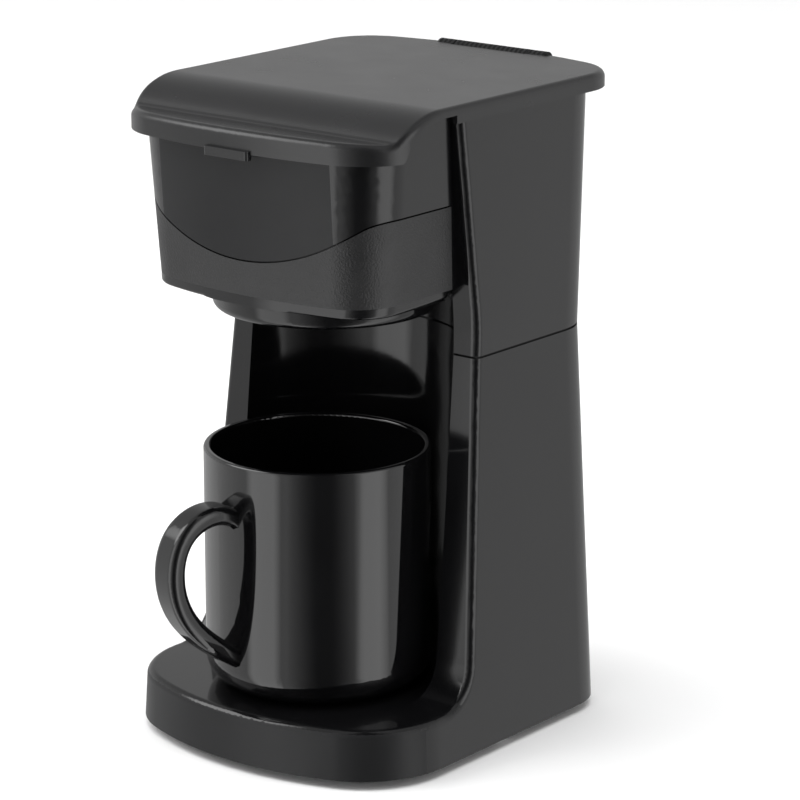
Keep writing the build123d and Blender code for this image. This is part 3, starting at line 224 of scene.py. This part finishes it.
left_box = arithmetic("MULTIPLY", strip(-18, 12, 20), BOX_LEVEL)
right_box = arithmetic("MULTIPLY", strip(96, 8, 20), BOX_LEVEL)
boxes = arithmetic("MULTIPLY", arithmetic("ADD", left_box, right_box), fade_up(0.5, 0.75, 1.0, 0.0))
rear_loss = arithmetic("MULTIPLY", strip(-150, 25, 60), REAR_LOSS)
walls = arithmetic("SUBTRACT", WALL_LEVEL, rear_loss)
walls = arithmetic("MULTIPLY", walls, fade_up(0.35, 0.8, 1.0, 0.6))
outside_gap = arithmetic("SUBTRACT", 1.0, arithmetic("MULTIPLY", strip(46, 7, 38), GAP_LOSS))
key_box = patch(direction, towards(-56, 43), 14, 22, KEY_LEVEL)
light_level = arithmetic("MULTIPLY", arithmetic("ADD", boxes, walls), outside_gap)
light_level = arithmetic("ADD", light_level, key_box)
print("room drawn with", len(room.nodes), "nodes")

# %% [markdown]
# ## What the camera sees behind the machine
#
# The camera should see plain white and not the soft boxes. The Light Path node tells a ray that comes
# straight from the camera from all others, so a Mix Shader gives it a white background.

# %% Backdrop
studio_light = room.nodes.new("ShaderNodeBackground")
studio_light.inputs["Color"].default_value = (1, 1, 1, 1)
room.links.new(light_level, studio_light.inputs["Strength"])
backdrop = room.nodes.new("ShaderNodeBackground")
backdrop.inputs["Color"].default_value = (1, 1, 1, 1)
ray_kind = room.nodes.new("ShaderNodeLightPath")
choose = room.nodes.new("ShaderNodeMixShader")
world_output = room.nodes.new("ShaderNodeOutputWorld")
room.links.new(ray_kind.outputs["Is Camera Ray"], choose.inputs["Fac"])
room.links.new(studio_light.outputs["Background"], choose.inputs[1])
room.links.new(backdrop.outputs["Background"], choose.inputs[2])
room.links.new(choose.outputs["Shader"], world_output.inputs["Surface"])
bpy.context.scene.view_settings.view_transform = "Standard"
print("backdrop set")

# %% [markdown]
# ## The overhead light
#
# One wide lamp overhead lights the paper evenly and puts a soft shadow under the base. It is kept out
# of reflections, so that the lid mirrors the pale room only.

# %% Overhead lamp
overhead = bpy.data.lights.new("overhead", "AREA")
overhead.shape = "RECTANGLE"
overhead.size = 2.4
overhead.size_y = 2.0
overhead.energy = 40
lamp = bpy.data.objects.new("overhead", overhead)
lamp.location = (0.0, -0.2, 1.8)
lamp.visible_glossy = False
bpy.context.scene.collection.objects.link(lamp)
print("lamp", overhead.energy, "W")

# %% [markdown]
# ## How a finish is built
#
# Every finish starts the same way: a base colour that drifts between two close shades, a roughness that
# varies a little over the piece, and a fine bump. All three read noise in object space, so the grain has
# a real size in metres and it runs on from one face to the next without seams.

# %% Finish helpers


def grain(tree, scale, detail=2.0):
    """Noise that follows the object, at so many cells per metre."""
    coordinates = tree.nodes.new("ShaderNodeTexCoord")
    noise = tree.nodes.new("ShaderNodeTexNoise")
    noise.inputs["Scale"].default_value = scale
    noise.inputs["Detail"].default_value = detail
    tree.links.new(coordinates.outputs["Object"], noise.inputs["Vector"])
    return noise.outputs["Fac"]


def spread(tree, value, low, high):
    """Map the middle of the noise on to the range low to high."""
    ramp = tree.nodes.new("ShaderNodeMapRange")
    ramp.inputs["From Min"].default_value = 0.3
    ramp.inputs["From Max"].default_value = 0.7
    ramp.inputs["To Min"].default_value = low
    ramp.inputs["To Max"].default_value = high
    tree.links.new(value, ramp.inputs["Value"])
    return ramp.outputs["Result"]


def bump(tree, shader, height, distance):
    """Raise the surface by height times distance, in metres."""
    node = tree.nodes.new("ShaderNodeBump")
    node.inputs["Distance"].default_value = distance
    tree.links.new(height, node.inputs["Height"])
    tree.links.new(node.outputs["Normal"], shader.inputs["Normal"])


def tint(tree, shader, value, dark, light):
    """Vary the base colour between two close shades."""
    mix = tree.nodes.new("ShaderNodeMix")
    mix.data_type = "RGBA"
    mix.inputs["A"].default_value = (*dark, 1)
    mix.inputs["B"].default_value = (*light, 1)
    tree.links.new(value, mix.inputs["Factor"])
    tree.links.new(mix.outputs["Result"], shader.inputs["Base Color"])


TINT_SCALE = 35.0
ROUGHNESS_SCALE = 60.0


def moulded_with_shader(name, dark, light, rough, grain_scale, grain_depth):
    """A finish with a slow colour change, a varied roughness and a fine grain, and its shader."""
    material, tree, shader = new_material(name)
    tint(tree, shader, grain(tree, TINT_SCALE), dark, light)
    tree.links.new(spread(tree, grain(tree, ROUGHNESS_SCALE), *rough), shader.inputs["Roughness"])
    bump(tree, shader, grain(tree, grain_scale, 3.0), grain_depth)
    return material, shader


def moulded(name, dark, light, rough, grain_scale, grain_depth, metal=0.0):
    """The same finish, which may be a metal."""
    material, shader = moulded_with_shader(name, dark, light, rough, grain_scale, grain_depth)
    shader.inputs["Metallic"].default_value = metal
    return material


# %% [markdown]
# ## The black plastics
#
# One black is not enough. The mould for the recess, the column and the lip was polished, so these are
# mirrors. The outer sides and the lid are satin, which blurs the room into an even grey. The band round
# the head is spark-eroded, so its grain is coarse enough to see and it catches light from all sides.

# %% Black plastics
finishes = {}
PLASTICS = {
    "gloss_black": ((0.003, 0.003, 0.0033), (0.005, 0.005, 0.0055), (0.07, 0.11), 400, 4e-6),
    "satin_black": ((0.008, 0.008, 0.0085), (0.010, 0.010, 0.0105), (0.25, 0.275), 2600, 1.5e-5),
    "textured_black": ((0.008, 0.008, 0.0085), (0.013, 0.013, 0.0135), (0.38, 0.48), 1400, 2.4e-4),
}
for name, settings in PLASTICS.items():
    finishes[name] = moulded(name, *settings)
print(list(finishes))

# %% [markdown]
# ## The dull front
#
# The front panel of the head and the front wall of the base are duller than the sides. This finish has
# the same grain and a lower specular level, which is a number on the shader's own socket.

# %% Eggshell black
eggshell, eggshell_shader = moulded_with_shader(
    "eggshell_black", (0.010, 0.0102, 0.0108), (0.014, 0.0142, 0.0148), (0.3, 0.38), 2200, 2e-5
)
eggshell_shader.inputs["Specular IOR Level"].default_value = 0.22
finishes["eggshell_black"] = eggshell
print("eggshell added")

# %% [markdown]
# ## The ribbed barrel
#
# The hinge barrel has fine ribs round it and is left as it comes out of the mould. Modelled ribs would
# add thousands of faces to a piece that is three millimetres of the picture, so a wave along the barrel
# drives the bump instead.

# %% Ribbed black
RIBS_PER_METRE = 150.0
RIB_DEPTH = 4e-4

barrel, barrel_tree, barrel_shader = new_material("ribbed_black")
barrel_tint = grain(barrel_tree, TINT_SCALE)
tint(barrel_tree, barrel_shader, barrel_tint, (0.005, 0.005, 0.0053), (0.008, 0.008, 0.0084))
barrel_roughness = spread(barrel_tree, grain(barrel_tree, ROUGHNESS_SCALE), 0.5, 0.6)
barrel_tree.links.new(barrel_roughness, barrel_shader.inputs["Roughness"])
barrel_place = barrel_tree.nodes.new("ShaderNodeTexCoord")
ribs = barrel_tree.nodes.new("ShaderNodeTexWave")
ribs.bands_direction = "X"
ribs.inputs["Scale"].default_value = RIBS_PER_METRE
ribs.inputs["Distortion"].default_value = 0.0
barrel_tree.links.new(barrel_place.outputs["Object"], ribs.inputs["Vector"])
bump(barrel_tree, barrel_shader, ribs.outputs["Fac"], RIB_DEPTH)
barrel_shader.inputs["Specular IOR Level"].default_value = 0.2
finishes["ribbed_black"] = barrel
print("ribs added")

# %% [markdown]
# ## The other stock
#
# Inside the machine are an aluminium boiler, brass and steel parts, ceramic, silicone hoses and insulated
# wires. Each row gives a dark and a light shade, a range of roughness, the grain's scale and its depth.
# A last 1.0 makes it a metal.

# %% Metals, rubbers and insulation
STOCK = {
    "natural_plastic": ((0.62, 0.60, 0.55), (0.70, 0.68, 0.63), (0.35, 0.45), 900, 2e-5),
    "mesh_steel": ((0.50, 0.50, 0.50), (0.60, 0.60, 0.60), (0.25, 0.35), 3000, 1e-4, 1.0),
    "steel": ((0.50, 0.50, 0.50), (0.60, 0.60, 0.62), (0.22, 0.34), 2000, 1e-5, 1.0),
    "cast_aluminium": ((0.58, 0.58, 0.59), (0.68, 0.68, 0.69), (0.35, 0.5), 900, 5e-5, 1.0),
    "brass": ((0.60, 0.44, 0.18), (0.70, 0.54, 0.26), (0.22, 0.32), 1500, 1e-5, 1.0),
    "rubber_black": ((0.012, 0.012, 0.012), (0.02, 0.02, 0.02), (0.6, 0.75), 1200, 8e-5),
    "silicone": ((0.60, 0.60, 0.58), (0.70, 0.70, 0.68), (0.4, 0.5), 800, 2e-5),
    "ceramic_white": ((0.74, 0.72, 0.68), (0.82, 0.81, 0.78), (0.5, 0.6), 1200, 5e-5),
    "red_insulation": ((0.32, 0.02, 0.015), (0.40, 0.035, 0.02), (0.3, 0.4), 1500, 1e-5),
    "blue_insulation": ((0.02, 0.06, 0.28), (0.03, 0.08, 0.36), (0.3, 0.4), 1500, 1e-5),
}
for name, settings in STOCK.items():
    finishes[name] = moulded(name, *settings)
print(len(finishes), "finishes")

# %% [markdown]
# ## The glaze on the mug
#
# Glaze is a layer of black glass. It flows before it sets, so its surface is a little wavy, and that is
# what makes the edges of a reflection in a real mug wander. A slow, shallow bump gives that.

# %% Glaze
glaze, glaze_tree, glaze_shader = new_material("black_glaze")
glaze_tint = grain(glaze_tree, 40.0)
tint(glaze_tree, glaze_shader, glaze_tint, (0.002, 0.002, 0.0022), (0.004, 0.004, 0.0044))
glaze_roughness = spread(glaze_tree, grain(glaze_tree, 80.0), 0.03, 0.06)
glaze_tree.links.new(glaze_roughness, glaze_shader.inputs["Roughness"])
bump(glaze_tree, glaze_shader, grain(glaze_tree, 45.0), 2.5e-5)
glaze_shader.inputs["Coat Weight"].default_value = 0.3
glaze_shader.inputs["Coat Roughness"].default_value = 0.02
finishes["black_glaze"] = glaze
print("glaze added")

# %% Give each node its finish
for name, node in nodes.items():
    node.data.materials.clear()
    node.data.materials.append(finishes[slot_of[name]])
print("materials set")

# %% [markdown]
# ## Smooth shells
#
# The CAD meshes are loose triangles, so a curved gloss face would show its facets. Each casing that is
# seen gets a merged copy: smooth across shallow angles, sharp at real corners. Large flat faces must not
# take on the tilt of the small round beside them, so a Weighted Normal modifier counts faces by area.
# A face that belongs to a polished region is told from the rest by where it lies.

# %% Shell helper
SHARP_ANGLE = math.radians(32)
MERGE_DISTANCE = 5e-6


def shell(name, regions=(), cuts=(), trim=None):
    """A merged, smooth copy of a node. Each region is a finish and a test on a face."""
    bm = bmesh.new()
    bm.from_mesh(nodes[name].data)
    bmesh.ops.remove_doubles(bm, verts=bm.verts, dist=MERGE_DISTANCE)
    # a cut at each side gives a region a straight edge
    for cut in cuts:
        for side in (-1, 1):
            everything = bm.verts[:] + bm.edges[:] + bm.faces[:]
            bmesh.ops.bisect_plane(bm, geom=everything, plane_co=(side * cut, 0, 0), plane_no=(1, 0, 0))
    if trim:
        trim(bm)
    for face in bm.faces:
        face.smooth = True
        face.material_index = 0
        for index, (finish, inside) in enumerate(regions, start=1):
            if inside(face.calc_center_median(), face.normal):
                face.material_index = index
    for edge in bm.edges:
        edge.smooth = edge.calc_face_angle(math.pi) < SHARP_ANGLE
    piece = link_mesh(name + "_shell", bm)
    for finish in [slot_of[name]] + [finish for finish, inside in regions]:
        piece.data.materials.append(finishes[finish])
    weighted = piece.modifiers.new("even_faces", "WEIGHTED_NORMAL")
    weighted.keep_sharp = True
    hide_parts(name)
    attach(piece, body_of[name])
    return piece


# %% [markdown]
# ## Which faces are polished
#
# The recess is a round on the brewing axis, which is the axis of the filter basket, so its faces lie
# within a set radius of that axis. The column's front faces look forwards beside it. The deck of the
# base faces up. All the places below are counted from the boxes of the nodes.

# %% Polished regions
basket_low, basket_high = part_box("filter_basket")
AXIS_X = (basket_low[0] + basket_high[0]) / 2
AXIS_Y = (basket_low[1] + basket_high[1]) / 2
RECESS_REACH = (0.045, 0.0502)
base_low, base_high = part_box("lower_body")
DECK_LOW, DECK_HIGH = base_low[2] + 0.012, base_low[2] + 0.026


def in_recess(centre, normal):
    """The concave wall, whose normals point to the brewing axis."""
    out_x, out_y = centre.x - AXIS_X, centre.y - AXIS_Y
    reach = math.hypot(out_x, out_y)
    facing_axis = normal.x * out_x + normal.y * out_y < -0.8 * reach
    return RECESS_REACH[0] < reach < RECESS_REACH[1] and facing_axis


def on_column(centre, normal):
    """The upright faces at both sides of the recess."""
    return normal.y < -0.85 and centre.y > AXIS_Y - 0.004 and centre.z > DECK_HIGH


def polished(centre, normal):
    """Both kinds of polished upright face."""
    return in_recess(centre, normal) or on_column(centre, normal)


def on_deck(centre, normal):
    """The top of the base, where the mug stands."""
    return normal.z > 0.9 and DECK_LOW < centre.z < DECK_HIGH


print("brewing axis at", round(AXIS_X, 4), round(AXIS_Y, 4))

# %% [markdown]
# ## Which faces are dull or ribbed
#
# The dull panel is the head's front between two upright cuts, just short of its round corners. The front
# wall of the base is everything low down that looks forwards. The barrel and its knuckles lie within a
# small radius of the hinge's axis, which the record gives.

# %% Dull and ribbed regions
housing_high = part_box("front_housing")[1]
PANEL_HALF = housing_high[0] - 0.0175
HINGE = next(joint["pos_m"] for joint in record["behaviour"]["joints"] if joint["name"] == "lid_hinge")
BARREL_REACH = 0.0042
BARREL_HALF = 0.0255


def on_panel(centre, normal):
    """The head's upper front, above the wavy edge of the band."""
    return normal.y < -0.5 and abs(centre.x) < PANEL_HALF


def on_base_front(centre, normal):
    """The low front wall of the base."""
    return normal.y < -0.2 and abs(normal.z) < 0.6 and centre.z < DECK_LOW + 0.008


def on_barrel(centre, normal):
    """The hinge barrel and its knuckles."""
    near_axis = math.hypot(centre.y - HINGE[1], centre.z - HINGE[2]) < BARREL_REACH
    return near_axis and abs(centre.x) < BARREL_HALF


print("panel half width", round(PANEL_HALF, 4))

# %% [markdown]
# ## The lip under the band
#
# The lip runs on from the band with a thin shadow line and the same bowed front. On the merged copy its
# sides are stretched out until they stand just inside the band's, and its front is drawn back to the
# band's bow, which is an arc.

# %% Lip
band_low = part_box("head_band")[0]
LIP_TOP = band_low[2] + 0.0002
LIP_HEIGHT = 0.0042
LIP_FRONT = band_low[1] + 0.0009
LIP_HALF = -band_low[0] - 0.0055
LIP_BOW = 0.0082
BOW_RADIUS = (LIP_HALF**2 + LIP_BOW**2) / (2 * LIP_BOW)
SIDE_STRETCH = 1.024
CUP_REACH = 0.0425


def draw_lip_back(bm):
    """Move the lip's corner points out to the sides and its front back to the bow."""
    for vert in bm.verts:
        reach = math.hypot(vert.co.x - AXIS_X, vert.co.y - AXIS_Y)
        if LIP_TOP - LIP_HEIGHT < vert.co.z < LIP_TOP and reach > CUP_REACH:
            vert.co.x *= SIDE_STRETCH if vert.co.y < AXIS_Y + 0.004 else 1.0
            bowed = LIP_FRONT + BOW_RADIUS - math.sqrt(BOW_RADIUS**2 - vert.co.x**2)
            vert.co.y = max(vert.co.y, bowed)


print("lip from", round(LIP_FRONT, 4), "to", round(LIP_TOP, 4))

# %% [markdown]
# ## The shells
#
# Now each casing gets its copy. Those with more than one finish name their regions, and the front
# housing also gets its two cuts. The rest only need to be smooth.

# %% Shells
shells = [
    shell(
        "lower_body",
        [("gloss_black", polished), ("gloss_black", on_deck), ("eggshell_black", on_base_front)],
    ),
    shell("upper_body", [("gloss_black", polished), ("ribbed_black", on_barrel)]),
    shell("front_housing", [("eggshell_black", on_panel)], cuts=[PANEL_HALF]),
    shell("head_band"),
    shell("brew_chamber", trim=draw_lip_back),
    shell("lid_shell", [("ribbed_black", on_barrel)]),
]
SMOOTH_ONLY = (
    "mug",
    "filter_basket",
    "filter_frame",
    "shower_tray",
    "base_plate",
    "front_feet",
    "rear_feet",
    "hinge_pin",
)
for name in SMOOTH_ONLY:
    shells.append(shell(name))
print([(piece.name, len(piece.data.polygons)) for piece in shells])
